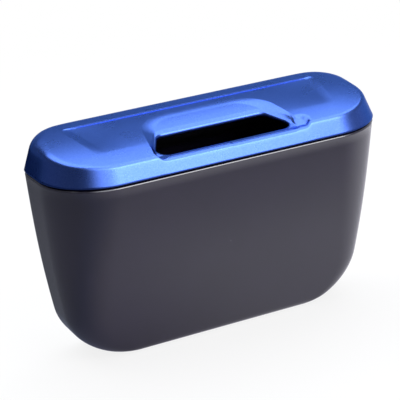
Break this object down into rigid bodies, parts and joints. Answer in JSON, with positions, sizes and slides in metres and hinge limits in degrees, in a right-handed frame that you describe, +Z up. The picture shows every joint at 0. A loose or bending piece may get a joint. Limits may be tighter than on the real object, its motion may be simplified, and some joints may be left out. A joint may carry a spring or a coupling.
{
  "type": "car trash bin",
  "caption": "Slim upright bin for a car interior: tapered tub with rounded corners and flat back, and a lift-off lid with a recessed top and a hooded slot at the front.",
  "frame": {"origin": "on the floor under the middle of the bin, halfway between the flat back and the front of the lid", "axes": "+X to the right seen from the front, +Y to the flat back, +Z up; the slot opens at the front, towards -Y"},
  "size_m": [0.2388, 0.08, 0.1558],
  "materials": {
    "tub_plastic": "charcoal moulded plastic with a fine satin grain",
    "lid_paint": "black plastic painted metallic blue on the outside, satin lustre"
  },
  "bodies": {
    "tub": {"tub": "tub_plastic"},
    "lid": {"lid": "lid_paint"}
  },
  "joints": [
    {"name": "lid_lift", "type": "slide", "parent": "tub", "child": "lid", "axis": [0, 0, 1], "range_m": [0, 0.06]}
  ]
}
